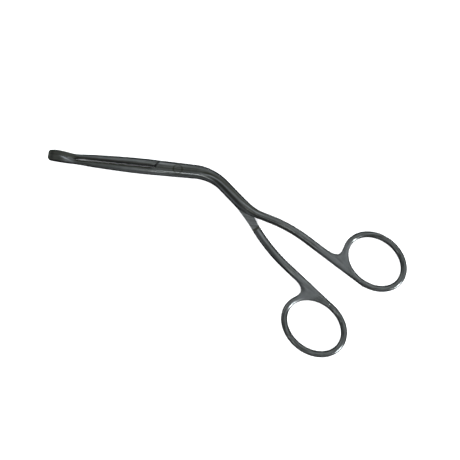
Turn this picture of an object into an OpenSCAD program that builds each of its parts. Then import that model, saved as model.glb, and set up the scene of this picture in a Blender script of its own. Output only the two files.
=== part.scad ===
// Magill forceps, the small angled pattern of about 20 cm, closed and lying flat.
//
// Two forged steel halves cross at a lap joint and turn on one riveted pin. Each half is a
// single forging: a slim jaw with a pierced and serrated grip at its end, one half of the lap
// joint, an offset shank, and an oval finger ring that grows out of the shank through a web.
//
// Origin: the pivot axis, at the flat underside of the joint. +X runs to the finger rings
// along the jaws' line, +Y to the side that the rear half's jaw opens to, +Z up.

/* [Jaws] */
// Distance from the pivot axis to the end of the jaws
jaw_reach = 69.3; // [60:0.1:80]
// Width of the two closed jaws together at the slim neck behind the grips
neck_w = 5.5; // [4.4:0.1:6.4]
// Height of a jaw at that neck
neck_t = 4.3; // [3.4:0.1:5]
// Distance from the end of the jaws to that neck
neck_reach = 14.6; // [13:0.1:18]
// Width of the two closed grips together
grip_w = 6.2; // [5.2:0.1:7.2]
// Height of a grip, across its oval window
grip_t = 6; // [5:0.1:6]
// Sideways lift of the grips from the jaws' line
grip_lift = 0.8; // [0:0.1:1.5]
// Space between the two jaws behind the grips
jaw_space = 1.6; // [0.6:0.1:1.8]
// Space left between the two grips' faces
grip_gap = 0.06; // [0.02:0.01:0.2]
// Length of the grips' faces, from the end of the jaws
grip_face_len = 12.3; // [11:0.1:14]
// Length over which the space between the jaws opens behind the grips
taper_len = 5; // [3:0.1:8]
// Angle by which the grips' faces lean to the jaws' line
seam_slope = 6.5; // [4:0.1:8]
// Width of the two jaws together midway between neck and root
mid_w = 6.74; // [5.6:0.02:7.6]
// Height of a jaw there
mid_t = 5.36; // [4.4:0.02:6]

/* [Grip windows and teeth] */
// Length of the oval window through a grip
window_len = 6.6; // [4:0.1:7.5]
// Height of the window
window_w = 2.8; // [1.6:0.1:3.2]
// Distance from the end of the jaws to the window's centre
window_reach = 5.6; // [4.6:0.1:7]
// Number of cross grooves in a grip's face
tooth_count = 10; // [4:1:12]
// Distance from one groove to the next
tooth_pitch = 1; // [0.7:0.05:1.1]
// Distance from the end of the jaws to the first groove
tooth_start = 1.2; // [0.8:0.1:2]
// Depth of a groove
tooth_depth = 0.35; // [0.1:0.05:0.6]

/* [Lap joint] */
// Width of the joint at the pivot
joint_w = 7.8; // [6.5:0.1:9]
// Thickness of the joint, both halves together
joint_t = 6; // [5:0.1:7]
// Width of the rounding along each edge of the joint
joint_round = 3; // [1.6:0.1:3.4]
// Height ground off each face of the joint, which leaves it a narrow flat
joint_grind = 0.05; // [0.02:0.01:0.2]
// Width of the jaws at their root, where they leave the joint
root_w = 8.3; // [7:0.1:9.5]
// Distance from the pivot axis to that root
root_reach = 20; // [16:0.5:26]
// Distance from the pivot axis to the shoulder, measured along the jaws' line
shoulder_reach = 12; // [10:0.1:16]
// Angle of the shoulder to the jaws' line
shoulder_angle = 55; // [35:1:75]
// Width of the slot left at the shoulder
shoulder_gap = 0.8; // [0.3:0.05:1]
// Clearance between the two lapped faces
lap_gap = 0.06; // [0.02:0.01:0.2]
// Length of the relief flat along the shank, from the pivot axis to its step
relief_reach = 56.4; // [50:0.5:62]

/* [Pivot pin] */
// Diameter of the pin
pin_d = 3; // [2:0.1:3.6]
// Diameter of the riveted ends
rivet_d = 4.8; // [4:0.1:5.4]
// Depth of the riveted ends
rivet_depth = 1.1; // [0.6:0.1:1.5]
// Clearance all round the pin in the half that turns on it
pin_clearance = 0.04; // [0.02:0.01:0.1]

/* [Shanks] */
// Straight length from the pivot to the bend
lead_len = 9.3; // [8:0.1:11]
// Length of the bend along its middle
bend_len = 17.5; // [14:0.1:22]
// Angle of the bend
bend_angle = 40.4; // [30:0.1:50]
// Length of the joint past the start of the bend, before it slims
bend_start = 2; // [1:0.1:4]
// Width of the shanks at that place
bend_start_w = 7.4; // [6.5:0.1:8]
// Width of the shanks where they leave the bend
bend_w = 6.5; // [5.6:0.1:7.5]
// Distance by which the crest of the bend stands aside from its middle, away from the hollow side
bend_crest = 0.65; // [0:0.05:1.2]
// Straight length that both shanks share after the bend
shared_len = 10.8; // [8:0.1:13]
// Length beyond the fork over which each shank slims
slim_len = 16; // [10:0.5:20]
// Width of each shank beyond the fork
shank_w = 4.3; // [3.4:0.1:5]
// Height of each shank beyond the fork
shank_t = 4.3; // [3.4:0.1:5]
// Length over which the front shank turns away
front_flare_len = 15; // [12:0.1:18]
// Angle by which the front shank turns away
front_flare = 25; // [18:0.1:30]
// Straight length after that
front_mid_len = 5.2; // [3:0.1:8]
// Length over which the front shank turns back
front_return_len = 22.1; // [18:0.1:28]
// Angle by which the front shank turns back
front_return = 15.9; // [10:0.1:20]
// Length over which the rear shank turns away
rear_flare_len = 5.3; // [4:0.1:9]
// Angle by which the rear shank turns away
rear_flare = 13.5; // [10:0.1:20]
// Straight length after that
rear_mid_len = 11.5; // [8:0.1:14]
// Length over which the rear shank turns back
rear_return_len = 27.7; // [22:0.1:32]
// Angle by which the rear shank turns back
rear_return = 16.5; // [12:0.1:22]

/* [Finger rings] */
// Long inner diameter of a finger ring
ring_len = 30.4; // [27:0.1:34]
// Short inner diameter of a finger ring
ring_w = 23; // [21:0.1:27]
// Width of the ring's stock
ring_stock = 3.25; // [2.4:0.05:3.8]
// Height of the ring's stock
ring_t = 3.8; // [3:0.1:4.6]
// Distance along the front shank from the end of its last curve to the ring's centre
front_ring_reach = 36.2; // [34:0.1:40]
// Distance along the rear shank from the end of its last curve to the ring's centre
rear_ring_reach = 31.2; // [29:0.1:35]
// Distance by which the front ring's centre stands aside from its shank's line
front_ring_aside = 12.6; // [12:0.1:14]
// Distance by which the rear ring's centre stands aside from its shank's line
rear_ring_aside = 13; // [12:0.1:14]
// Size of the rear ring against the front one
rear_ring_size = 1.02; // [0.95:0.01:1.1]
// Turn of the front ring's long axis against its shank's line
front_ring_turn = 0.2; // [-4:0.1:4]
// Turn of the rear ring's long axis against its shank's line
rear_ring_turn = 5.3; // [0:0.1:8]
// Radius of the fillet between shank and ring
web_fillet = 7; // [3:0.1:8]
// Distance before the ring's centre at which the shank starts to thin in width
thin_start = 22; // [18:0.5:26]
// Length over which it thins to the ring's stock
thin_len = 20; // [14:0.5:24]
// Distance before the ring's centre at which its height starts to change
level_start = 24; // [20:0.5:28]
// Length over which its height changes to the ring's
level_len = 12; // [8:0.5:20]

/* [Smoothness] */
// Sides of the upper half of each forged section
half_sides = 10; // [8:2:12]
// Spacing of the forged sections along a half
section_step = 2; // [1.6:0.2:5]

/* [Hidden] */

steel = [0.36, 0.37, 0.36];
pin_steel = [0.42, 0.43, 0.42];
mid_z = joint_t / 2;
clear = 20;
plate = clear * 10;
overcut = 0.5;
lift_len = 13;
lift_start = 3;
ring_sides = 8;
ring_steps = 56;
edge_steps = 8;
solve_steps = 26;
solve_slack = 0.2;
web_lap = 0.9;
web_span = 26;
fillet_len = 9;
strip_end = 3;
grip_back = jaw_reach - grip_face_len;
taper_back = grip_back - taper_len;
seam_y = 0.15;
front_share = 0.47;
least_h = 0.05;
least_r = 0.01;
window_facets = 48;
pin_facets = 72;
grip_round = 0.9;
neck_round = 1.2;
mid_round = 1.8;

// Path of a shank: straight and curved pieces, each with its length and its turn
front_path = [[lead_len, 0], [bend_len, -bend_angle], [shared_len, 0],
              [front_flare_len, front_flare], [front_mid_len, 0],
              [front_return_len, -front_return], [clear * 3, 0]];
rear_path = [[lead_len, 0], [bend_len, -bend_angle], [shared_len, 0],
             [rear_flare_len, -rear_flare], [rear_mid_len, 0],
             [rear_return_len, rear_return], [clear * 3, 0]];
front_curve_end = lead_len + bend_len + shared_len + front_flare_len + front_mid_len + front_return_len;
rear_curve_end = lead_len + bend_len + shared_len + rear_flare_len + rear_mid_len + rear_return_len;

// Tip of a jaw: place as a share of neck_reach, then shares of grip_w, grip_t and grip_round
tip = [[0, 0.62, 0.4, 0.56], [0.034, 0.84, 0.58, 0.67], [0.11, 0.94, 0.8, 0.78],
       [0.24, 0.98, 0.97, 0.89], [0.384, 1, 1, 1], [0.582, 0.98, 0.93, 1.11]];

// Places of the rows in the tip, as shares of lift_len, and in the web, as shares of fillet_len
tip_shares = [0, 0.02, 0.046, 0.085, 0.14, 0.215, 0.31, 0.415, 0.54, 0.66, 0.8, 0.95];
web_shares = [0.22, 0.4, 0.56, 0.69, 0.8, 0.91, 1];

// Sections along a half: distance from the pivot, half width, half height, edge rounding, crest aside
fork_s = lead_len + bend_len + shared_len;
slim_s = fork_s + slim_len;
half_t = joint_t / 2 + joint_grind;
sections = concat(
    [for (d = tip) [neck_reach * d[0] - jaw_reach, d[1] * grip_w / 2, d[2] * grip_t / 2, d[3] * grip_round, 0]],
    [[neck_reach - jaw_reach, neck_w / 2, neck_t / 2, neck_round, 0],
     [-(jaw_reach + root_reach) / 2, mid_w / 2, mid_t / 2, mid_round, 0],
     [-root_reach, root_w / 2, half_t, joint_round, 0],
     [0, joint_w / 2, half_t, joint_round, 0],
     [lead_len + bend_start, bend_start_w / 2, half_t, joint_round, 0],
     [lead_len + bend_len, bend_w / 2, half_t, bend_w / 2, bend_crest],
     [fork_s, bend_w / 2, joint_t / 2, bend_w / 2, bend_crest],
     [slim_s, shank_w / 2, shank_t / 2, shank_w / 2, 0],
     [slim_s + clear * 4, shank_w / 2, shank_t / 2, shank_w / 2, 0]]);

// Smooth step from 0 to 1
function ease(t) = let(k = min(max(t, 0), 1)) k * k * (3 - 2 * k);

// Slope of column c of the sections at station i, for a curve without overshoot
function slope(i, c) =
    i == 0 || i == len(sections) - 1 ? 0 :
    let(before = (sections[i][c] - sections[i - 1][c]) / (sections[i][0] - sections[i - 1][0]),
        after = (sections[i + 1][c] - sections[i][c]) / (sections[i + 1][0] - sections[i][0]))
    before * after <= 0 ? 0 : 2 * before * after / (before + after);

// Value of column c of the sections at distance s, on the curve through the stations
function section_at(s, c, i = 0) =
    i < len(sections) - 2 && s > sections[i + 1][0] ? section_at(s, c, i + 1) :
    let(step = sections[i + 1][0] - sections[i][0],
        t = min(max((s - sections[i][0]) / step, 0), 1),
        a = sections[i][c], b = sections[i + 1][c])
    a * (1 + 2 * t) * (1 - t) * (1 - t) + slope(i, c) * step * t * (1 - t) * (1 - t)
    + b * t * t * (3 - 2 * t) + slope(i + 1, c) * step * t * t * (t - 1);

// Height of a rounded edge, as a share of full height, at depth d inside an edge of radius r
function crown(d, r) = d >= r ? 1 : d <= 0 ? 0 : sqrt(1 - (1 - d / r) * (1 - d / r));

// Place and heading on a path at distance s from the pivot: [x, y, heading]
function walk(path, s, i = 0, x = 0, y = 0, a = 0) =
    let(l = min(s, path[i][0]), turn = path[i][1] * l / path[i][0],
        chord = turn == 0 ? l : l * sin(turn / 2) / (turn / 2 * PI / 180),
        nx = x + chord * cos(a + turn / 2), ny = y + chord * sin(a + turn / 2))
    s <= path[i][0] || i == len(path) - 1 ? [nx, ny, a + turn]
    : walk(path, s - path[i][0], i + 1, nx, ny, a + turn);

// The jaws' middle line: straight, with the grips lifted aside at their end
function jaw_lift(s) = grip_lift * ease((-s - jaw_reach + lift_len + lift_start) / lift_len);
function middle(path, s) = s < 0 ? [s, jaw_lift(s), 0] : walk(path, s);

// A point at distance y to the left of a path's middle
function beside(path, s, y) = let(m = middle(path, s)) [m[0] - y * sin(m[2]), m[1] + y * cos(m[2])];

// Finger ring frames: [centre x, centre y, direction of the long axis, side of the shank,
// turn of the shank's line, distance aside from it, size]
function ring_frame(path, s, reach, side, turn, aside, size) =
    let(m = walk(path, s + reach), a = m[2])
    [m[0] - side * aside * sin(a), m[1] + side * aside * cos(a), a + turn, side, side * turn, aside, size];
front_ring = ring_frame(front_path, front_curve_end, front_ring_reach, 1, front_ring_turn,
                        front_ring_aside, 1);
rear_ring = ring_frame(rear_path, rear_curve_end, rear_ring_reach, -1, rear_ring_turn,
                       rear_ring_aside, rear_ring_size);

// From the ring's own frame to the part's frame, and back
function ring_to_part(f, p) = [f[0] + p[0] * cos(f[2]) - f[3] * p[1] * sin(f[2]),
                               f[1] + p[0] * sin(f[2]) + f[3] * p[1] * cos(f[2])];
function part_to_ring(f, p) = let(dx = p[0] - f[0], dy = p[1] - f[1])
    [dx * cos(f[2]) + dy * sin(f[2]), f[3] * (dy * cos(f[2]) - dx * sin(f[2]))];

// Distance of a point outside an ellipse of half axes a and b, negative inside
function beyond_ellipse(p, a, b) =
    (pow(p[0] / a, 2) + pow(p[1] / b, 2) - 1) / (2 * norm([p[0] / (a * a), p[1] / (b * b)]));

// A ring's own sizes: half axes of the hole and of the outline, width of the stock
function hole_axes(f) = [ring_len, ring_w] / 2 * f[6];
function rim_axes(f) = hole_axes(f) + [stock(f), stock(f)];
function stock(f) = ring_stock * f[6];

// Height of a point of the handle above its shank's line, toward the ring's centre
function above_line(f, p) = p[1] * cos(f[4]) + p[0] * sin(f[4]) + f[5];

// Depth of a point inside the shank's strip; the strip thins to the ring's stock
function strip_depth(f, p) =
    let(along = p[0] * cos(f[4]) - p[1] * sin(f[4]),
        k = ease((along + thin_start) / thin_len),
        half = shank_w / 2 + (stock(f) - shank_w) / 2 * k,
        shift = (hole_axes(f)[1] + stock(f) / 2 - f[5]) * k)
    min(half - abs(above_line(f, p) + shift), strip_end - along);

// Depth of a point inside the outline of shank, web and ring, with the web's fillet on one side
function outline_depth(f, p) =
    let(e = -beyond_ellipse(p, rim_axes(f)[0], rim_axes(f)[1]),
        s = strip_depth(f, p),
        r = web_fillet * ease(2 * above_line(f, p) / shank_w) + least_r)
    norm([max(r + e, 0), max(r + s, 0)]) - max(r, min(-e, -s));

// Height of the forged surface above mid plane at a point of the handle
function handle_height(f, p, hole = true) =
    let(k = ease((p[0] + level_start) / level_len),
        h = shank_t / 2 + (ring_t - shank_t) / 2 * k,
        r = shank_w / 2 + (stock(f) - shank_w) / 2 * k,
        d_out = outline_depth(f, p),
        d_in = hole ? beyond_ellipse(p, hole_axes(f)[0], hole_axes(f)[1]) : r)
    h * crown(min(d_out, d_in), r);

// Distance from point p along direction q to the outline, between near and far
function outline_hit(f, p, q, near, far, n = 0) =
    n == solve_steps ? (near + far) / 2 :
    let(t = (near + far) / 2)
    outline_depth(f, p + q * t) > 0 ? outline_hit(f, p, q, t, far, n + 1)
                                    : outline_hit(f, p, q, near, t, n + 1);

// One forged half as a closed skin. Sections run from the grip to the web, and the ring's
// sections run round its hole; those that meet the web start on the last section's points.
module forging(path, f, curve_end, reach) {
    web_s = curve_end + reach - rim_axes(f)[0] + web_lap;
    fillet_s = web_s - fillet_len;
    m = half_sides;
    n = ring_sides;

    // Left reach of the section at s, where the fillet widens the web
    function left_half(s) = s < fillet_s ? section_at(s, 1) :
        let(c = middle(path, s), o = part_to_ring(f, c),
            q = part_to_ring(f, beside(path, s, f[3])) - o)
        outline_hit(f, o, q, section_at(s, 1) - solve_slack, f[5] / 2);

    // Point k of the upper side of the section at s, from its right edge to its left edge
    function upper(s, k) =
        let(right = section_at(s, 1), left = left_half(s),
            t = (1 - cos(180 * k / m)) / 2, y = -right + (right + left) * t,
            p = beside(path, s, y * f[3]),
            round = section_at(s, 3), crest = section_at(s, 4) * f[3],
            crowned = section_at(s, 2) * min(crown(y + right, round + crest), crown(left - y, round - crest)),
            h = s < fillet_s ? crowned : handle_height(f, part_to_ring(f, p), false))
        [p[0], p[1], k == 0 || k == m ? 0 : h];

    tip_rows = [for (d = tip_shares) d * lift_len - jaw_reach];
    tip_end = tip_rows[len(tip_rows) - 1];
    body_n = ceil((fillet_s - tip_end) / section_step);
    body_rows = [for (i = [1:body_n]) tip_end + i * (fillet_s - tip_end) / body_n];
    web_rows = [for (d = web_shares) fillet_s + d * fillet_len];
    rows = concat(tip_rows, body_rows, web_rows);
    nr = len(rows);

    // Loft rows: the upper points from right to left, then the lower ones back
    loft = [for (s = rows) let(up = [for (k = [0:m]) upper(s, k)])
        each concat([for (p = up) p], [for (k = [m - 1:-1:1]) [up[k][0], up[k][1], -up[k][2]]])];

    // Web edge: its two corners and their directions from the ring's centre
    web_up = [for (k = [0:m]) let(p = upper(rows[nr - 1], k), q = part_to_ring(f, p)) [q[0], q[1], p[2]]];
    corner_a = atan2(web_up[m][1], web_up[m][0]) + 360;
    last_a = corner_a + web_span;

    hole = hole_axes(f);
    function hole_point(a) = [cos(a), sin(a)] * hole[0] * hole[1] / norm([hole[1] * cos(a), hole[0] * sin(a)]);

    // Outer and inner ends of the ring's sections, counter-clockwise in the ring's frame
    around = [for (i = [0:ring_steps - 1]) let(a = -90 + (corner_a + 90) * i / ring_steps, q = [cos(a), sin(a)])
        [concat(q * outline_hit(f, [0, 0], q, norm(hole_point(a)) + stock(f) / 2, 2 * f[5]), 0), hole_point(a)]];
    meeting = [for (k = [0:m]) [web_up[m - k], hole_point(corner_a + web_span * k / m)]];
    under = [for (i = [1:edge_steps - 1])
        let(t = i / edge_steps, u = web_up[0][0] * (1 - t), a = last_a + (270 - last_a) * t)
        [[u, -outline_hit(f, [u, 0], [0, -1], f[5], 2 * f[5]), 0], hole_point(a)]];
    spans = concat(around, meeting, under);
    ns = len(spans);

    // Upper skin of the ring: j runs from the outline to the hole
    function skin(i, j) = let(o = spans[i][0], c = spans[i][1], t = (1 - cos(180 * j / n)) / 2,
            p = [o[0] + (c[0] - o[0]) * t, o[1] + (c[1] - o[1]) * t],
            z = j == 0 ? o[2] : j == n ? 0 : max(handle_height(f, p), least_h), w = ring_to_part(f, p))
        [w[0], w[1], z];
    top = [for (i = [0:ns - 1], j = [0:n]) skin(i, j)];
    bottom = [for (p = top) [p[0], p[1], -p[2]]];

    // Index of a skin point; both skins share the rims, and the loft's last row where they meet it
    r = 2 * m;
    t0 = len(loft);
    b0 = t0 + len(top);
    function at(i, j, up) = let(w = i % ns, k = m - w + ring_steps)
        j == 0 && k >= 0 && k <= m ? (nr - 1) * r + (up || k == 0 ? k : r - k)
        : (up || j == 0 || j == n ? t0 : b0) + w * (n + 1) + j;

    // Faces, wound for the front half and turned over for its mirror image
    cap = [for (k = [r - 1:-1:0]) k];
    sides = [for (i = [0:nr - 2], k = [0:r - 1])
        let(a = i * r + k, b = i * r + (k + 1) % r) each [[a, b, a + r], [b, b + r, a + r]]];
    skins = [for (i = [0:ns - 1], j = [0:n - 1]) each [
        [at(i, j, true), at(i, j + 1, true), at(i + 1, j, true)],
        [at(i + 1, j, true), at(i, j + 1, true), at(i + 1, j + 1, true)],
        [at(i, j, false), at(i + 1, j, false), at(i, j + 1, false)],
        [at(i + 1, j, false), at(i + 1, j + 1, false), at(i, j + 1, false)]]];
    faces = concat([cap], sides, skins);
    turned = f[3] > 0 ? faces : [for (q = faces) [for (k = [len(q) - 1:-1:0]) q[k]]];
    translate([0, 0, mid_z]) polyhedron(concat(loft, top, bottom), turned);
}

// Space between the two grips' faces: a plane that leans with the grips' lift
function seam(x) = seam_y + (-grip_back - x) * tan(seam_slope);

// Sideways position of a half's inner face behind the grips; side is 1 for the front half
function inner_face(side) = side > 0 ? -front_share * jaw_space : (1 - front_share) * jaw_space;

// Position along the jaws' line of the shoulder's edge at a distance y toward the other jaw
function shoulder_x(y) = -shoulder_reach + y / tan(shoulder_angle);

// Room of the other half's jaw, cut away over the full height
module other_jaw(side) {
    start = -jaw_reach - clear;
    inner = inner_face(side);
    translate([0, 0, -clear])
        linear_extrude(joint_t + 2 * clear)
            polygon([[start, side * clear], [start, seam(start) - side * grip_gap / 2],
                     [-grip_back, seam(-grip_back) - side * grip_gap / 2], [-taper_back, inner],
                     [shoulder_x(side * inner), inner], [shoulder_x(clear), side * clear]]);
}

// Room of the other half's layer, from the shoulder of this half's jaw to the relief's step
module other_layer(path, side) {
    slot = shoulder_gap / sin(shoulder_angle);
    step = walk(path, relief_reach);
    across = 2 * clear * [-sin(step[2]), cos(step[2])];
    stop = [step[0], step[1]];
    z = side > 0 ? -clear : mid_z - lap_gap / 2;
    translate([0, 0, z])
        linear_extrude(mid_z + lap_gap / 2 + clear)
            polygon([[-shoulder_reach - slot, side * clear], [-shoulder_reach - slot, 0],
                     [shoulder_x(clear) - slot, -side * clear], stop - side * across, stop + side * across]);
}

// Oval window through the grips, in the direction in which they close
module window() {
    straight = window_len - window_w;
    translate([window_reach - jaw_reach, 0, mid_z]) rotate([90, 0, 0]) {
        cube([straight, window_w, 2 * clear], center = true);
        for (x = [-straight / 2, straight / 2])
            translate([x, 0, 0]) cylinder(h = 2 * clear, d = window_w, center = true, $fn = window_facets);
    }
}

// Cross grooves in both grips' faces
module grooves() {
    side = tooth_depth * sqrt(2);
    first = tooth_start - jaw_reach;
    for (i = [0:tooth_count - 1])
        translate([first + i * tooth_pitch, seam(first + i * tooth_pitch), mid_z])
            rotate([0, 0, 45 - seam_slope]) cube([side, side, 2 * clear], center = true);
}

// Solid of the pin, wider all round by c; it reaches past each face by e
module pin_form(c, e) {
    flare = (rivet_d - pin_d) / 2 / rivet_depth * e;
    translate([0, 0, -e])
        cylinder(h = rivet_depth + e, d1 = rivet_d + 2 * (c + flare), d2 = pin_d + 2 * c, $fn = pin_facets);
    translate([0, 0, rivet_depth - e])
        cylinder(h = joint_t - 2 * rivet_depth + 2 * e, d = pin_d + 2 * c, $fn = pin_facets);
    translate([0, 0, joint_t - rivet_depth])
        cylinder(h = rivet_depth + e, d1 = pin_d + 2 * c, d2 = rivet_d + 2 * (c + flare), $fn = pin_facets);
}

// One half: the forging, ground flat on both faces of the joint, then parted and drilled
module half(path, f, curve_end, reach, side, c) {
    difference() {
        intersection() {
            forging(path, f, curve_end, reach);
            translate([-plate, -plate, 0]) cube([2 * plate, 2 * plate, joint_t]);
        }
        other_jaw(side);
        other_layer(path, side);
        window();
        grooves();
        pin_form(c, overcut);
    }
}

// Front half: lower jaw, upper layer of the joint, and the ring further from the jaws
module front_half() color(steel)
    half(front_path, front_ring, front_curve_end, front_ring_reach, 1, 0);

// Rear half: upper jaw, lower layer of the joint, and the ring nearer to the jaws
module rear_half() color(steel)
    half(rear_path, rear_ring, rear_curve_end, rear_ring_reach, -1, pin_clearance);

// Pivot pin: riveted into both countersinks and ground flush with the rounded faces of the joint
module pivot_pin() color(pin_steel)
    intersection() {
        pin_form(0, 0);
        forging(front_path, front_ring, front_curve_end, front_ring_reach);
    }

front_half();
rear_half();
pivot_pin();
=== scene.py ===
import math

import bpy
import mathutils
import numpy as np
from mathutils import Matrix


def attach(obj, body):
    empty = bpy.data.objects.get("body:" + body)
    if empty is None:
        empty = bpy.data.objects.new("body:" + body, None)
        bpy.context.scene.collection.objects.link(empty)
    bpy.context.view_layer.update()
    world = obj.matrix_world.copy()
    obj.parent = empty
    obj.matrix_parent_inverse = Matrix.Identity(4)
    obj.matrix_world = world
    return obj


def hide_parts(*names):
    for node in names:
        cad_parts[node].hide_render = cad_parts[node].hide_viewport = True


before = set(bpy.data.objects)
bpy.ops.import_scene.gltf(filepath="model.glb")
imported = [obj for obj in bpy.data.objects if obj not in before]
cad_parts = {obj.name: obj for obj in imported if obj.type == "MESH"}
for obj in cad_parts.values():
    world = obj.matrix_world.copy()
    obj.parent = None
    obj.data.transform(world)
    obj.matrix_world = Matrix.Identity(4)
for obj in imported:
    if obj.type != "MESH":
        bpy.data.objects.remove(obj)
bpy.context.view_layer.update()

# Front half: one piece of surgical stainless steel, drop forged, ground and satin polished. It is
# the lower jaw, the upper layer of the lap joint, the long shank and the further finger ring.
# Every size is in millimetres; distances s run along the half, from the pivot axis.
MM = 0.001
MID_Z, JOINT_T = 3.0, 6.0
JAW_REACH = 69.3
GRIP_LIFT, LIFT_START, LIFT_RUN = 0.8, 16, 13
SHANK_W, SHANK_T = 4.3, 4.3
RING_LEN, RING_W, RING_STOCK, RING_T = 30.4, 23.0, 3.25, 3.8
WEB_FILLET, WEB_RUN = 7.0, 9
STATIONS = np.array([
    # s, half width, half height, rounding of the edges, crest aside
    [-69.3, 1.922, 1.2, 0.504, 0], [-68.8036, 2.604, 1.74, 0.603, 0], [-67.694, 2.914, 2.4, 0.702, 0],
    [-65.796, 3.038, 2.91, 0.801, 0], [-63.6936, 3.1, 3.0, 0.9, 0], [-60.8028, 3.038, 2.79, 1.0, 0],
    [-54.7, 2.75, 2.15, 1.2, 0], [-44.65, 3.37, 2.68, 1.8, 0], [-20.0, 4.15, 3.05, 3.0, 0],
    [0.0, 3.9, 3.05, 3.0, 0], [11.3, 3.7, 3.05, 3.0, 0], [26.8, 3.25, 3.05, 3.25, 0.65],
    [37.6, 3.25, 3.0, 3.25, 0.65], [53.6, 2.15, 2.15, 2.15, 0], [134.0, 2.15, 2.15, 2.15, 0]])
# The middle line beyond the pivot: the length of each stretch, and its turn in degrees
FRONT_PATH = [(9.3, 0), (17.5, -40.4), (10.8, 0), (15.0, 25.0), (5.2, 0), (22.1, -15.9), (60, 0)]


def ease(t):
    """Smooth step: 3 t squared less 2 t cubed, with t held between 0 and 1."""
    t = np.clip(t, 0, 1)
    return t * t * (3 - 2 * t)


def station_curve(s, column):
    """Cubic through one column of STATIONS, with the harmonic mean of the two neighbouring slopes at
    each station, or level where they differ in sign, so that it never overshoots."""
    x, y = STATIONS[:, 0], STATIONS[:, column]
    rise = np.diff(y) / np.diff(x)
    before, after = rise[:-1], rise[1:]
    both = before * after
    mean = np.where(both > 0, 2 * both / np.where(both > 0, before + after, 1), 0)
    slope = np.concatenate([[0], mean, [0]])
    i = np.clip(np.searchsorted(x, s) - 1, 0, len(x) - 2)
    step = x[i + 1] - x[i]
    t = np.clip((s - x[i]) / step, 0, 1)
    return (y[i] * (1 + 2 * t) * (1 - t) ** 2 + slope[i] * step * t * (1 - t) ** 2
            + y[i + 1] * t * t * (3 - 2 * t) + slope[i + 1] * step * t * t * (t - 1))


def crown(depth, radius):
    """Height of a quarter-round edge as a share of the full height, at a depth inside the outline."""
    x = np.clip(depth / radius, 0, 1)
    return np.sqrt(1 - (1 - x) ** 2)


def middle(path, s):
    """Place and heading on a half's middle line: straight to the jaw's end, where the grip is lifted
    aside, and on the other side of the pivot a chain of straight and round stretches."""
    s = np.asarray(s, float)
    x, a = s.copy(), np.zeros_like(s)
    y = GRIP_LIFT * ease((-s - JAW_REACH + LIFT_START) / LIFT_RUN)
    x0 = y0 = a0 = s0 = 0.0
    for length, turn in path:
        turn = math.radians(turn)
        run = np.clip(s - s0, 0, length)
        half = turn * run / length / 2
        chord = run * np.sinc(half / math.pi)
        on = s > s0
        x = np.where(on, x0 + chord * np.cos(a0 + half), x)
        y = np.where(on, y0 + chord * np.sin(a0 + half), y)
        a = np.where(on, a0 + 2 * half, a)
        chord = length * np.sinc(turn / 2 / math.pi)
        x0, y0 = x0 + chord * math.cos(a0 + turn / 2), y0 + chord * math.sin(a0 + turn / 2)
        a0, s0 = a0 + turn, s0 + length
    return x, y, a


def ring_frame(path, reach, turn, side, aside, size):
    """A finger ring: its centre, the direction of its long axis, the side of the shank it is on, the
    turn and the distance of the shank's line from that axis, and the half axes of hole and stock."""
    end = sum(length for length, _ in path[:-1])
    x, y, a = (float(v) for v in middle(path, end + reach))
    turn = math.radians(turn)
    return {"x": x - side * aside * math.sin(a), "y": y + side * aside * math.cos(a), "a": a + turn,
            "side": side, "turn": side * turn, "aside": aside, "centre_s": end + reach,
            "hole": (RING_LEN / 2 * size, RING_W / 2 * size), "stock": RING_STOCK * size}


def to_part(ring, u, v):
    """From a ring's own axes, long axis first, to the part's."""
    c, d = math.cos(ring["a"]), math.sin(ring["a"])
    v = ring["side"] * v
    return ring["x"] + u * c - v * d, ring["y"] + u * d + v * c


def to_ring(ring, px, py):
    """From the part's axes to a ring's own."""
    c, d = math.cos(ring["a"]), math.sin(ring["a"])
    dx, dy = px - ring["x"], py - ring["y"]
    return dx * c + dy * d, ring["side"] * (dy * c - dx * d)


def beyond_ellipse(u, v, a, b):
    """First-order distance outside an ellipse of half axes a and b: its function over its gradient."""
    return ((u / a) ** 2 + (v / b) ** 2 - 1) / (2 * np.hypot(u / a ** 2, v / b ** 2) + 1e-9)


def outline_depth(ring, u, v):
    """Depth inside the joined outline of ring and shank. The two depths are joined with a fillet on the
    ring's side of the shank: the length of both depths plus the radius, less the radius. Beside the
    ring the shank's strip takes on the ring's stock, in the 20 mm up to 2 mm before its centre."""
    (a, b), stock, turn = ring["hole"], ring["stock"], ring["turn"]
    disc = -beyond_ellipse(u, v, a + stock, b + stock)
    along = u * math.cos(turn) - v * math.sin(turn)
    above = v * math.cos(turn) + u * math.sin(turn) + ring["aside"]
    k = ease((along + 22) / 20)
    half = SHANK_W / 2 + (stock - SHANK_W) / 2 * k
    strip = np.minimum(half - np.abs(above + (b + stock / 2 - ring["aside"]) * k), 3 - along)
    r = WEB_FILLET * ease(2 * above / SHANK_W) + 0.01
    return (np.hypot(np.maximum(r + disc, 0), np.maximum(r + strip, 0))
            - np.maximum(r, np.minimum(-disc, -strip)))


def handle_height(ring, u, v, hole=True):
    """Half height of web and ring: rounded in from the outline and, beside the hole, from its edge,
    and going from the shank's thickness to the ring's."""
    k = ease((u + 24) / 12)
    height = SHANK_T / 2 + (RING_T - SHANK_T) / 2 * k
    r = SHANK_W / 2 + (ring["stock"] - SHANK_W) / 2 * k
    inner = beyond_ellipse(u, v, *ring["hole"]) if hole else r
    return height * crown(np.minimum(outline_depth(ring, u, v), inner), r)


def outline_hit(ring, u, v, du, dv, near, far):
    """Distance from a point, in a given direction, at which the outline is crossed, by halving."""
    near = np.zeros_like(du) + near
    far = np.zeros_like(du) + far
    for _ in range(34):
        mid = (near + far) / 2
        inside = outline_depth(ring, u + du * mid, v + dv * mid) > 0
        near, far = np.where(inside, mid, near), np.where(inside, far, mid)
    return (near + far) / 2


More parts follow.
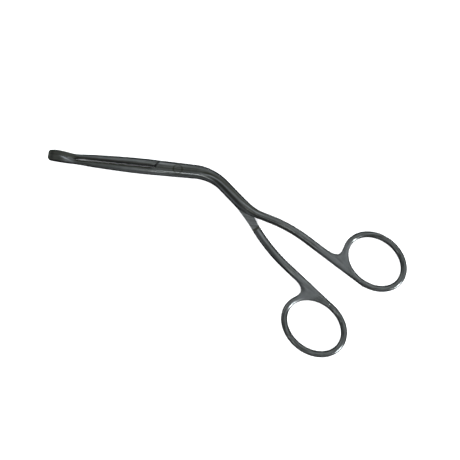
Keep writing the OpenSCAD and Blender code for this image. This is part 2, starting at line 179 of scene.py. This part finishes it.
def soft_floor(z, top, blend):
    """The lower of z and top, with the corner between them rounded over blend."""
    h = np.clip(0.5 + (top - z) / (2 * blend), 0, 1)
    return z * h + top * (1 - h) - blend * h * (1 - h)


def painted_bands_and_rivet_seam(s, across):
    """Painted highlights and painted shade on the front half, as a share added to the light that is thrown
    back. A painted highlight runs along the crest of the joint and the bend, with a band of painted shade
    on each side of it and a painted highlight line near each edge; each band is a bell curve across the
    half, and all of them fade out where the shank begins. The grip's neck has a painted highlight, and the
    seam round the rivet is a dark ring."""
    crest = np.interp(s, [-15, 0, 10, 14, 18, 22, 30, 44, 50],
                      [-2.4, -2.2, -1.7, -1.0, -0.4, -0.1, 0.2, 0.5, 0.3])
    bend = ease((s - 12) / 6) * ease((56 - s) / 8)
    joint = ease((s + 18) / 8) * ease((20 - s) / 6)

    def band(place, width):
        return np.exp(-((across - place) / width) ** 2)

    # Painted highlight on the crest, painted shade beside it and painted highlight lines near the edges
    tone = (0.8 * bend + 0.5 * joint) * band(crest, 0.33)
    tone += bend * (0.6 * band(-2.1, 0.3) + 0.7 * band(2.3, 0.5) - 0.6 * band(crest + 0.95, 0.65))
    tone += (-0.45 * bend * band(crest - 0.9, 0.6) - 0.4 * joint * band(0.1, 1.2)
             + 0.35 * joint * band(2.7, 0.5))
    # Painted highlight on the lower jaw's neck
    tone += 2.4 * np.exp(-((s + 59.7) / 2.7) ** 2) * band(-0.8 - 0.26 * (s + 59.7), 0.32)
    return tone - 0.7 * np.exp(-((np.hypot(s, across) - 2.4) / 0.22) ** 2)


WEB_START, WEB_FADE = 84, 8


def tone_with_painted_light(s, across, side):
    """Painted light and shade and other tone, as a share added to the light that is thrown back: the
    painted bands on the front half, or a lighter stretch beyond the relief's step on the rear half, then
    painted shade on the inner edge beside the gap of the jaws, lighter webs and darker grips."""
    tone = painted_bands_and_rivet_seam(s, across) if side > 0 else 0.35 * ease((s - 55) / 2) * ease((70 - s) / 10)
    # Painted shade on the inner edge beside the gap of the jaws
    gap = ease((s + 56) / 3) * ease((-13 - s) / 2)
    edge, width = (0.95, 0.5) if side > 0 else (0.85, 0.3)
    tone -= 0.8 * gap * np.exp(-((across + edge) / width) ** 2)
    grip = ease((-s - (59 if side > 0 else 52)) / 4)
    return tone + (0.25 * ease((s - WEB_START) / WEB_FADE) - 0.45 * grip)


def both_faces(upper, lower):
    """Rows of values over the top and back below it, with the two rims that they share taken once."""
    return np.concatenate([upper, lower[:, -2:0:-1]], 1)


SECTION_STEP, FILLET_ROWS = 0.45, 24
LOWER_SHIFT = 40  # places the lower face beside the upper one in the map of distances


def shank_skin(path, ring, steps):
    """Rounded sections carried along the middle line, from the jaw's end to the web. A section has
    steps across, closer towards its edges; its height is the lower of the two edges' crowns. In the
    web's fillet it reaches out to the joined outline on the ring's side. Returns rows of points, for
    each point its distance along and across, its share of matt finish and its tone, and the last
    row's places in the ring's axes."""
    side = ring["side"]
    web_s = ring["centre_s"] - ring["hole"][0] - ring["stock"] + 0.9
    fillet_s = web_s - WEB_RUN
    tip = -JAW_REACH + np.array([0, 0.06, 0.14, 0.25, 0.4, 0.6, 0.85, 1.1, 1.4, 1.8])
    s = np.concatenate([tip, np.arange(tip[-1] + SECTION_STEP, fillet_s - 0.2, SECTION_STEP),
                        np.linspace(fillet_s, web_s, FILLET_ROWS)])
    cx, cy, ca = middle(path, s)
    half = station_curve(s, 1)
    left = half.copy()
    web = s >= fillet_s
    ou, ov = to_ring(ring, cx[web], cy[web])
    qu, qv = to_ring(ring, cx[web] - side * np.sin(ca[web]), cy[web] + side * np.cos(ca[web]))
    left[web] = outline_hit(ring, ou, ov, qu - ou, qv - ov, half[web] - 0.2, ring["aside"] / 2)

    t = (1 - np.cos(np.pi * np.arange(steps + 1) / steps)) / 2
    across = -half[:, None] + (half + left)[:, None] * t[None]
    x = cx[:, None] - side * across * np.sin(ca)[:, None]
    y = cy[:, None] + side * across * np.cos(ca)[:, None]
    rounding, crest = station_curve(s, 3)[:, None], side * station_curve(s, 4)[:, None]
    z = station_curve(s, 2)[:, None] * np.minimum(crown(across + half[:, None], rounding + crest),
                                                  crown(left[:, None] - across, rounding - crest))
    z[web] = handle_height(ring, *to_ring(ring, x[web], y[web]), False)
    z[:, 0] = z[:, -1] = 0
    points = np.stack([both_faces(x, x), both_faces(y, y), both_faces(z, -z)], -1)

    along = np.repeat(s[:, None], steps + 1, 1)
    matt = ease((along - WEB_START) / WEB_FADE)
    tone = tone_with_painted_light(along, across, side)
    maps = np.stack([both_faces(along, along), both_faces(across, across + LOWER_SHIFT),
                     both_faces(matt, matt), both_faces(tone, np.zeros_like(tone))], -1)
    return points, maps, to_ring(ring, x[-1], y[-1])


def ring_skin(ring, meeting, ring_steps, shank_steps, edge_steps, in_steps):
    """Sections round the finger hole, each with in_steps from the joined outline to the hole's
    ellipse. They go ring_steps round the free ring, then over the shank's last row, which is given in
    the ring's axes and meets 26 degrees of the hole, then edge_steps along the shank's far edge.
    Returns rows of places in plan, of half heights, and of the same four values as the shank's."""
    hole_a, hole_b = ring["hole"]
    shank_u, shank_v = meeting
    corner = math.atan2(shank_v[-1], shank_u[-1]) + 2 * math.pi
    opening = math.radians(26)
    last = corner + opening

    def hole_point(a):
        k = hole_a * hole_b / np.hypot(hole_b * np.cos(a), hole_a * np.sin(a))
        return k * np.cos(a), k * np.sin(a)

    a = -math.pi / 2 + (corner + math.pi / 2) * np.arange(ring_steps) / ring_steps
    ring_hole = hole_point(a)
    far = outline_hit(ring, 0, 0, np.cos(a), np.sin(a), np.hypot(*ring_hole) + ring["stock"] / 2, 26)
    shank_hole = hole_point(corner + opening * np.arange(shank_steps + 1) / shank_steps)
    k = np.arange(1, edge_steps) / edge_steps
    edge_u = shank_u[0] * (1 - k)
    edge_hole = hole_point(last + (1.5 * math.pi - last) * k)
    edge_v = -outline_hit(ring, edge_u, 0 * edge_u, 0 * edge_u, -1 + 0 * edge_u, ring["aside"], 20)
    out_u = np.concatenate([far * np.cos(a), shank_u[::-1], edge_u])
    out_v = np.concatenate([far * np.sin(a), shank_v[::-1], edge_v])
    in_u, in_v = (np.concatenate(p) for p in zip(ring_hole, shank_hole, edge_hole))

    t = (1 - np.cos(np.pi * np.arange(in_steps + 1) / in_steps))[None] / 2
    u = out_u[:, None] + (in_u - out_u)[:, None] * t
    v = out_v[:, None] + (in_v - out_v)[:, None] * t
    height = np.maximum(handle_height(ring, u, v), 0.03)
    height[:, [0, -1]] = 0
    angle = np.unwrap(np.arctan2(v, u), axis=0)
    matt = ease((-u - 5) / 7) * ease((4 - v) / 8)
    maps = np.stack([90 + 15 * angle, np.hypot(u, v), matt, 0.25 * matt], -1)
    return to_part(ring, u, v), height, maps


EDGE_BLEND = 0.06


def forging(path, ring, shank_steps=36, in_steps=22, ring_steps=220, edge_steps=36):
    """Closed skin of a whole forging, before it is parted: the shank's sections and the ring's, which
    share their points where they meet, and a cap on the jaw's end. The joint's thickness cuts the
    crowns off, with a soft edge. Returns the points, the faces' corners, and four values for each
    point: its distances along and across, its share of matt finish and its tone."""
    side = ring["side"]
    shank, shank_maps, meeting = shank_skin(path, ring, shank_steps)
    (x, y), height, ring_maps = ring_skin(ring, meeting, ring_steps, shank_steps, edge_steps, in_steps)
    rows, run = shank.shape[:2]

    # Numbers of the points: both skins of the ring share their rims with each other, and one rim
    # with the shank's last row, over the top and below
    up = rows * run + np.arange(height.size).reshape(height.shape)
    down = up + height.size
    down[:, [0, -1]] = up[:, [0, -1]]
    k = np.arange(shank_steps, -1, -1)
    met = slice(ring_steps, ring_steps + shank_steps + 1)
    up[met, 0] = (rows - 1) * run + k
    down[met, 0] = (rows - 1) * run + (run - k) % run

    def quads(grid):
        a, b = grid, np.roll(grid, -1, 0)
        return np.stack([a[:, :-1], b[:, :-1], b[:, 1:], a[:, 1:]], -1).reshape(-1, 4)

    body = np.arange(rows * run).reshape(rows, run)
    beside = np.roll(body, -1, 1)
    sides = np.stack([body[:-1], body[1:], beside[1:], beside[:-1]], -1).reshape(-1, 4)
    cap = np.arange(run)
    points = np.concatenate([shank.reshape(-1, 3), np.stack([x, y, height], -1).reshape(-1, 3),
                             np.stack([x, y, -height], -1).reshape(-1, 3)])
    maps = np.concatenate([shank_maps.reshape(-1, 4), ring_maps.reshape(-1, 4),
                           ring_maps.reshape(-1, 4) + [0, LOWER_SHIFT, 0, 0]])
    faces = np.concatenate([sides, quads(up), quads(down)[:, ::-1]])
    if side > 0:
        cap = cap[::-1]
    else:
        faces = faces[:, ::-1]
    points[:, 2] = np.sign(points[:, 2]) * soft_floor(np.abs(points[:, 2]), JOINT_T / 2, EDGE_BLEND)
    points[:, 2] += MID_Z
    used = np.unique(faces)
    number = np.zeros(len(points), int)
    number[used] = np.arange(len(used))
    return points[used], number[faces].tolist() + [number[cap].tolist()], maps[used]


def make_mesh(name, points, faces, maps=None):
    """A Blender object from points in millimetres and lists of corners. Its two optional maps are each
    point's distances along and across, and its shares of matt finish and tone."""
    mesh = bpy.data.meshes.new(name)
    mesh.from_pydata((np.asarray(points) * MM).tolist(), [], faces)
    if maps is not None:
        corner = np.empty(len(mesh.loops), int)
        mesh.loops.foreach_get("vertex_index", corner)
        mesh.uv_layers.new(name="polish").data.foreach_set("uv", (maps[corner, :2] * MM).ravel())
        # The finish map holds the matt share and the tone of painted light and shade
        mesh.uv_layers.new(name="finish").data.foreach_set("uv", maps[corner, 2:].ravel())
    mesh.validate()
    mesh.update()
    piece = bpy.data.objects.new(name, mesh)
    bpy.context.collection.objects.link(piece)
    return piece


def walled(name, start, end, maps=None):
    """A closed solid between two outlines with as many points, each point joined to its like."""
    n = len(start)
    i = np.arange(n)
    j = (i + 1) % n
    walls = np.stack([i, j, j + n, i + n], -1).tolist()
    lids = [list(range(n - 1, -1, -1)), list(range(n, 2 * n))]
    return make_mesh(name, np.concatenate([start, end]), walls + lids, maps)


def prism(name, outline, low, high, tone=0.0):
    """An upright prism on an outline of points in plan, between two heights, with the tone painted on the
    faces that it cuts, painted shade where it is darker. An outline whose area comes out negative runs the
    wrong way and is turned round."""
    outline = np.asarray(outline, float)
    x, y = outline.T
    if np.sum(x * np.roll(y, -1) - np.roll(x, -1) * y) < 0:
        outline = outline[::-1]
    n = len(outline)
    maps = np.column_stack([outline, np.zeros(n), np.full(n, tone)])
    start, end = (np.column_stack([outline, np.full(n, z)]) for z in (low, high))
    return walled(name, start, end, np.concatenate([maps, maps]))


def turned(name, profile, steps=96):
    """A closed turned form about the pivot axis, from radius and height pairs from bottom to top."""
    profile = np.asarray(profile, float)
    a = 2 * np.pi * np.arange(steps) / steps
    points = np.stack([profile[:, 0, None] * np.cos(a), profile[:, 0, None] * np.sin(a),
                       np.repeat(profile[:, 1, None], steps, 1)], -1).reshape(-1, 3)
    grid = np.arange(len(profile) * steps).reshape(-1, steps)
    nxt = np.roll(grid, -1, 1)
    walls = np.stack([grid[:-1], nxt[:-1], nxt[1:], grid[1:]], -1).reshape(-1, 4).tolist()
    return make_mesh(name, points, walls + [grid[0, ::-1].tolist(), grid[-1].tolist()])


GRIP_BACK, TAPER_BACK = 57.0, 52.0
GRIP_GAP, JAW_SPACE, LAP_GAP = 0.06, 1.6, 0.06
SEAM_Y, SEAM_SLOPE = 0.15, math.tan(math.radians(6.5))
SHOULDER, SHOULDER_TAN = 12.0, math.tan(math.radians(55))
SHOULDER_SLOT, SHOULDER_LIP = 0.8 / math.sin(math.radians(55)), 0.35
STEP_S = 56.4
STEP_CORNER, SLOT_CORNER, CORNER_DEPTH = 1.3, 1.5, 0.02
# Beyond the forging: sideways, below and above
FAR, BELOW, ABOVE = 20, -5, 11


def seam(x):
    """Sideways place of the plane between the two grips, which leans with their lift."""
    return SEAM_Y + (-GRIP_BACK - x) * SEAM_SLOPE


def lap_cutters(path, side):
    """Solids that part a forging where the halves cross: the other half's jaw up to the slanted shoulder,
    whose cut leaves painted shade on the jaw's inner face, and the other half's layer from the shoulder's
    slot to the relief's step, whose cut leaves a lighter flat. The front half's shoulder is set back by a
    lip, so that the slot shows as a dark line, and on the rear half its floor also carries painted shade."""
    inner = -0.47 * JAW_SPACE if side > 0 else 0.53 * JAW_SPACE
    lip = -SHOULDER + (SHOULDER_LIP if side > 0 else 0)
    jaw = [(-90, side * FAR), (-90, seam(-90) - side * GRIP_GAP / 2),
           (-GRIP_BACK, seam(-GRIP_BACK) - side * GRIP_GAP / 2), (-TAPER_BACK, inner),
           (lip + side * inner / SHOULDER_TAN, inner), (lip + FAR / SHOULDER_TAN, side * FAR)]
    px, py, heading = (float(v) for v in middle(path, STEP_S))
    stop = np.array([px, py])
    across = 2 * FAR * np.array([-math.sin(heading), math.cos(heading)])
    back = -SHOULDER - SHOULDER_SLOT
    layer = [(back, side * FAR), (back, 0), (back + FAR / SHOULDER_TAN, -side * FAR),
             tuple(stop - side * across), tuple(stop + side * across)]
    low, high = (BELOW, MID_Z + LAP_GAP / 2) if side > 0 else (MID_Z - LAP_GAP / 2, ABOVE)
    # The jaw's cut face gets painted shade, tone -0.7, and the layer's cut face is made lighter
    cuts = [prism("other_jaw", jaw, BELOW, ABOVE, tone=-0.7),
            prism("other_layer", layer, low, high, tone=0.15)]
    if side < 0:
        # Painted shade: a darker strip at both ends of the lap's flat, in the corner at the relief's step
        # and on the floor of the shoulder's slot
        along = STEP_CORNER * np.array([math.cos(heading), math.sin(heading)])
        step = [stop - across, stop + across, stop + across - along, stop - across - along]
        far = back + FAR / SHOULDER_TAN
        slot = [(back, 0), (far, FAR), (far + SLOT_CORNER, FAR), (back + SLOT_CORNER, 0)]
        cuts += [prism("step_corner_shade", step, low - CORNER_DEPTH, high, tone=-0.6),
                 prism("slot_floor_shade", slot, low - CORNER_DEPTH, high, tone=-0.9)]
    return cuts


WINDOW_S, WINDOW_STRAIGHT, WINDOW_R = 63.7, 1.9, 1.4
GROOVES, GROOVE_R = 10, 0.35


def grip_cutters():
    """Solids that are cut from a grip: its window, two half circles with straights between them, and a
    row of square grooves on their corners, 1 mm apart, across the face on the seam."""
    a = np.radians(np.arange(-90, 91, 5))
    end = np.stack([WINDOW_STRAIGHT + WINDOW_R * np.cos(a), WINDOW_R * np.sin(a)], -1)
    x, z = np.concatenate([end, -end]).T
    start, end = (np.column_stack([x - WINDOW_S, np.full(len(x), y), z + MID_Z]) for y in (12, -12))
    cuts = [walled("window", start, end)]
    a = np.radians([0, 90, 180, 270]) - math.atan(SEAM_SLOPE)
    for i in range(GROOVES):
        x = -JAW_REACH + 1.2 + i
        groove = np.stack([x + GROOVE_R * np.cos(a), seam(x) + GROOVE_R * np.sin(a)], -1)
        cuts.append(prism("groove", groove, BELOW, ABOVE))
    return cuts


PIN_R, HEAD_R, SINK = 1.5, 2.4, 1.1
BEYOND = 0.5


def pin_hole(clearance):
    """The pin's hole, countersunk on both sides, with its cones carried on beyond the joint's faces."""
    bore = PIN_R + clearance
    mouth = HEAD_R + clearance + (HEAD_R - PIN_R) / SINK * BEYOND
    return turned("hole", [(mouth, -BEYOND), (bore, SINK), (bore, JOINT_T - SINK),
                           (mouth, JOINT_T + BEYOND)])


def cut(piece, cuts, operation="DIFFERENCE"):
    """Take each cutter from the piece with Blender's exact Boolean, or keep only what lies inside it,
    and keep the result as the piece's mesh."""
    for tool in cuts:
        mod = piece.modifiers.new(tool.name, "BOOLEAN")
        mod.operation = operation
        mod.solver = "EXACT"
        mod.object = tool
    bpy.context.view_layer.update()
    result = bpy.data.meshes.new_from_object(piece.evaluated_get(bpy.context.evaluated_depsgraph_get()))
    piece.modifiers.clear()
    piece.data = result
    for tool in cuts:
        bpy.data.objects.remove(tool)
    result.shade_smooth()
    result.set_sharp_from_angle(angle=math.radians(28))


def linear(code):
    """sRGB hex colour to linear red, green, blue and alpha."""
    c = np.array([int(code[i:i + 2], 16) for i in (1, 3, 5)]) / 255
    return (*np.where(c <= 0.04045, c / 12.92, ((c + 0.055) / 1.055) ** 2.4), 1.0)


def add(tree, kind, links=None, **settings):
    """One shader node with its settings; links maps its inputs to other nodes' outputs or values."""
    node = tree.nodes.new("ShaderNode" + kind)
    for key, value in settings.items():
        setattr(node, key, value)
    for key, value in (links or {}).items():
        if isinstance(value, bpy.types.NodeSocket):
            tree.links.new(value, node.inputs[key])
        else:
            node.inputs[key].default_value = value
    return node


def satin_steel(name, light, dark, rough):
    """Surgical stainless steel, ground on a wheel and then brushed along each piece. The eye gets an even
    grey metal with soft, drawn-out reflections. Hair lines are 0.11 mm apart and 6 mm long, the wheel's
    bands 1 mm wide and 36 mm long, the clouds of the polish 4 mm and its grain 0.4 mm across; the real
    hair lines are finer, and are drawn this coarse to show. The finish map's first share makes the steel
    matt and even, as on the webs, and its second is a tone of painted light and shade, which makes it
    lighter or darker."""
    material = bpy.data.materials.new(name)
    material.use_nodes = True
    tree = material.node_tree
    tree.nodes.clear()
    polish = add(tree, "UVMap", uv_map="polish").outputs["UV"]
    place = add(tree, "TexCoord").outputs["Object"]
    finish = add(tree, "SeparateXYZ", {"Vector": add(tree, "UVMap", uv_map="finish").outputs["UV"]})
    matt, tone = finish.outputs["X"], finish.outputs["Y"]

    # Patterns, in repeats to the metre
    hair_place = add(tree, "Mapping", {"Vector": polish, "Scale": (180, 9000, 1)}).outputs["Vector"]
    hair = add(tree, "TexNoise", {"Vector": hair_place, "Scale": 1.0, "Detail": 4.0, "Roughness": 0.65},
               noise_dimensions="2D").outputs["Fac"]
    band_place = add(tree, "Mapping", {"Vector": polish, "Scale": (28, 1000, 1)}).outputs["Vector"]
    band = add(tree, "TexNoise", {"Vector": band_place, "Scale": 1.0, "Detail": 1.0},
               noise_dimensions="2D").outputs["Fac"]
    band = add(tree, "Mix", {"Factor": matt, "A": band, "B": 0.5}).outputs["Result"]
    cloud = add(tree, "TexNoise", {"Vector": place, "Scale": 260.0, "Detail": 3.0}).outputs["Fac"]
    grain = add(tree, "TexNoise", {"Vector": place, "Scale": 2600.0, "Detail": 2.0}).outputs["Fac"]

    # Colour: streaks of light and dark steel, times the tone of painted light and shade, which acts more
    # on blue, so that the painted shade leans to olive
    streak = add(tree, "MapRange", {"Value": band, "From Min": 0.3, "From Max": 0.7}).outputs["Result"]
    cloudy = add(tree, "Math", {0: streak, 1: cloud}, operation="ADD").outputs[0]
    shade = add(tree, "MapRange", {"Value": cloudy, "From Min": 0.2, "From Max": 1.5}).outputs["Result"]
    steel = add(tree, "Mix", {"Factor": shade, "A": linear(dark), "B": linear(light)}, data_type="RGBA")
    red_green = add(tree, "Math", {0: tone, 1: 1.0}, operation="ADD").outputs[0]
    blue = add(tree, "Math", {0: tone, 1: 1.12, 2: 1.0}, operation="MULTIPLY_ADD").outputs[0]
    share = add(tree, "CombineXYZ", {"X": red_green, "Y": red_green, "Z": blue}).outputs["Vector"]
    colour = add(tree, "VectorMath", {0: steel.outputs["Result"], 1: share}, operation="MULTIPLY")

    # Roughness goes with the hair lines; bands, hair lines and grain are also raised
    brushed = add(tree, "MapRange", {"Value": hair, "From Min": 0.25, "From Max": 0.75,
                                     "To Min": rough - 0.07, "To Max": rough + 0.08}).outputs["Result"]
    roughness = add(tree, "Math", {0: matt, 1: 0.22, 2: brushed}, operation="MULTIPLY_ADD").outputs[0]
    coarse = add(tree, "Math", {0: matt, 1: 3.0, 2: 1.0}, operation="MULTIPLY_ADD").outputs[0]
    height = add(tree, "Math", {0: grain, 1: coarse, 2: hair}, operation="MULTIPLY_ADD").outputs[0]
    banded = add(tree, "Bump", {"Strength": 1.0, "Distance": 0.00022, "Height": band}).outputs["Normal"]
    normal = add(tree, "Bump", {"Strength": 0.25, "Distance": 0.00002, "Height": height,
                                "Normal": banded}).outputs["Normal"]
    shader = add(tree, "BsdfPrincipled", {"Metallic": 1.0, "Roughness": roughness, "Normal": normal,
                                          "Base Color": colour.outputs["Vector"],
                                          "Specular Tint": linear("#c8caca")})
    add(tree, "OutputMaterial", {"Surface": shader.outputs["BSDF"]})
    return material


forged_steel = satin_steel("satin_stainless_steel", "#6c6f6e", "#434542", 0.2)
FRONT_RING = ring_frame(FRONT_PATH, reach=36.2, turn=0.2, side=1, aside=12.6, size=1)
front = make_mesh("front_forging", *forging(FRONT_PATH, FRONT_RING))
cut(front, lap_cutters(FRONT_PATH, 1) + grip_cutters() + [pin_hole(0)])
front.data.materials.clear()
front.data.materials.append(forged_steel)
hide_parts("front_half")
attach(front, "front")

# Rear half: the front half's mate, from the same steel and finish. It is the upper jaw, the lower
# layer of the joint, the steeper shank with the relief's step, and the nearer finger ring. It runs
# on the pin with a little clearance.
REAR_PATH = [(9.3, 0), (17.5, -40.4), (10.8, 0), (5.3, -13.5), (11.5, 0), (27.7, 16.5), (60, 0)]
REAR_RING = ring_frame(REAR_PATH, reach=31.2, turn=5.3, side=-1, aside=13.0, size=1.02)
rear = make_mesh("rear_forging", *forging(REAR_PATH, REAR_RING))
cut(rear, lap_cutters(REAR_PATH, -1) + grip_cutters() + [pin_hole(0.04)])
rear.data.materials.clear()
rear.data.materials.append(forged_steel)
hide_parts("rear_half")
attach(rear, "rear")

# Pivot rivet: a steel pin, closed into both countersinks and ground down together with the joint, so
# that only a fine dark ring shows where its end meets the half. It is what lies inside the turned
# rivet of the front forging's skin before that was parted.
RIVET_R, RIVET_MOUTH = 1.48, 2.79
pin_steel = satin_steel("ground_rivet_steel", "#6c6f6e", "#434542", 0.2)
pin = make_mesh("pivot_rivet", *forging(FRONT_PATH, FRONT_RING))
cut(pin, [turned("rivet", [(RIVET_MOUTH, -BEYOND), (RIVET_R, SINK), (RIVET_R, JOINT_T - SINK),
                           (RIVET_MOUTH, JOINT_T + BEYOND)])], "INTERSECT")
pin.data.materials.clear()
pin.data.materials.append(pin_steel)
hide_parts("pivot_pin")
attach(pin, "front")


# Table: a plain pale sheet of matt paper under the forceps, lit until it is plain white. The steel
# does not mirror it.
def paper(name, sockets):
    """Matt uncoated paper, with the values of the shader's sockets by name."""
    material = bpy.data.materials.new(name)
    material.use_nodes = True
    tree = material.node_tree
    tree.nodes.clear()
    shader = add(tree, "BsdfPrincipled", sockets)
    add(tree, "OutputMaterial", {"Surface": shader.outputs["BSDF"]})
    return material


TABLE = 900
corners = [(-TABLE, -TABLE, 0), (TABLE, -TABLE, 0), (TABLE, TABLE, 0), (-TABLE, TABLE, 0)]
floor = make_mesh("table", corners, [[0, 1, 2, 3]])
floor.data.materials.append(paper("matt_white_paper", {"Base Color": linear("#f2f3f3"), "Roughness": 0.9}))
floor.visible_glossy = False

# Backdrop: a pale round wall and ceiling of seamless paper, evenly lit. Only the camera sees it; the
# steel mirrors the studio's tent instead.
BACKDROP_R = 2400
lit_paper = {"Base Color": linear("#000000"), "Emission Color": linear("#f1f3f4"),
             "Emission Strength": 1.0}
backdrop = turned("backdrop", [(BACKDROP_R * math.cos(a), BACKDROP_R * math.sin(a))
                               for a in np.radians(range(-85, 86, 5))])
backdrop.data.materials.append(paper("seamless_backdrop_paper", lit_paper))
backdrop.visible_glossy = backdrop.visible_diffuse = False
backdrop.visible_shadow = backdrop.visible_transmission = False


# Light: a studio tent, bright at the right and the top and dim at the lower left, which the steel
# mirrors, a narrow strip lamp close by, and two broad lamps that light the table alone.
def soft_box(name, place, width, height, glow, lit):
    """A rectangular area light at a place in millimetres, turned to face the forceps, that lights one
    list of pieces. Its power is pi times its area times its glow."""
    lamp = bpy.data.lights.new(name, "AREA")
    lamp.shape = "RECTANGLE"
    lamp.size, lamp.size_y = width * MM, height * MM
    lamp.energy = math.pi * lamp.size * lamp.size_y * glow
    box = bpy.data.objects.new(name, lamp)
    box.location = mathutils.Vector(place) * MM
    away = box.location - mathutils.Vector((0.02, -0.03, 0))
    box.rotation_euler = away.to_track_quat("Z", "Y").to_euler()
    box.visible_camera = False
    bpy.context.collection.objects.link(box)
    box.light_linking.receiver_collection = bpy.data.collections.new(name)
    for piece in lit:
        box.light_linking.receiver_collection.objects.link(piece)


soft_box("strip_lamp", (-16, -230, 344), 30, 120, 6.0, [front, rear, pin])
soft_box("table_lamp_top", (60, 450, 850), 900, 500, 8.0, [floor])
soft_box("table_lamp_bottom", (-60, -450, 850), 900, 500, 8.0, [floor])

world = bpy.data.worlds.new("studio_tent")
world.use_nodes = True
tent = world.node_tree
tent.nodes.clear()
way = add(tent, "TexCoord").outputs["Generated"]


def tent_spot(azimuth, elevation, width, glow):
    """A soft round bright place of the tent: glow at a direction, falling smoothly to nothing at an
    angle of width from it."""
    a, e = math.radians(azimuth), math.radians(elevation)
    aim = (math.cos(e) * math.cos(a), math.cos(e) * math.sin(a), math.sin(e))
    near = add(tent, "VectorMath", {0: way, 1: aim}, operation="DOT_PRODUCT").outputs["Value"]
    spot = add(tent, "MapRange", {"Value": near, "From Min": math.cos(math.radians(width)),
                                  "From Max": 1.0, "To Min": 0.0, "To Max": glow},
               interpolation_type="SMOOTHSTEP")
    return spot.outputs["Result"]


# The tent's light by height, from straight below, 0, over the horizon, 0.5, to straight above, 1
TENT_BY_HEIGHT = ((0.0, 0.12), (0.45, 0.35), (0.6, 0.6), (0.83, 0.7), (0.93, 0.68), (0.975, 0.5),
                  (0.99, 0.28), (1.0, 0.18))
# Its spots: azimuth, elevation and width in degrees, and glow. The last one is a small bright lamp
TENT_SPOTS = ((30, 70, 20, 0.3), (182, 70, 20, 0.25), (0, 50, 24, 0.3), (62, 48, 34, 0.45),
              (108, 46, 26, 0.25), (158, 6, 34, 1.0), (208, 8, 36, 0.35), (268, 46, 24, 0.6),
              (270, -14, 36, 0.5), (324, 11, 14, 40.0))
up = add(tent, "SeparateXYZ", {"Vector": way}).outputs["Z"]
level = add(tent, "MapRange", {"Value": up, "From Min": -1.0}).outputs["Result"]
by_height = add(tent, "ValToRGB", {"Fac": level})
ramp = by_height.color_ramp
for place, value in TENT_BY_HEIGHT:
    stop = ramp.elements.new(place) if 0 < place < 1 else ramp.elements[int(place)]
    stop.color = (value, value, value, 1)
right = add(tent, "VectorMath", {0: way, 1: (0.71, 0.71, 0.0)}, operation="DOT_PRODUCT").outputs["Value"]
by_side = add(tent, "MapRange", {"Value": right, "From Min": -0.65, "From Max": 0.1, "To Min": 0.3,
                                 "To Max": 1.15}, interpolation_type="SMOOTHSTEP").outputs["Result"]
glow = add(tent, "Math", {0: by_height.outputs["Color"], 1: by_side}, operation="MULTIPLY").outputs[0]
for spot in TENT_SPOTS:
    glow = add(tent, "Math", {0: glow, 1: tent_spot(*spot)}, operation="ADD").outputs[0]
tent_light = add(tent, "Background", {"Color": linear("#f8fbff"), "Strength": glow})
add(tent, "OutputWorld", {"Surface": tent_light.outputs["Background"]})
bpy.context.scene.world = world
bpy.context.scene.view_settings.view_transform = "Standard"

# Camera: looks down on the forceps from 0.4 m, 6 degrees off square, as in the photograph.
lens = bpy.data.cameras.new("camera")
lens.sensor_width = 36
lens.lens = 58.84
camera = bpy.data.objects.new("camera", lens)
camera.location = (0.020788, -0.069773, 0.400822)
camera.rotation_euler = tuple(math.radians(a) for a in (5.644, -2.0392, 5.7274))
bpy.context.collection.objects.link(camera)
bpy.context.scene.camera = camera
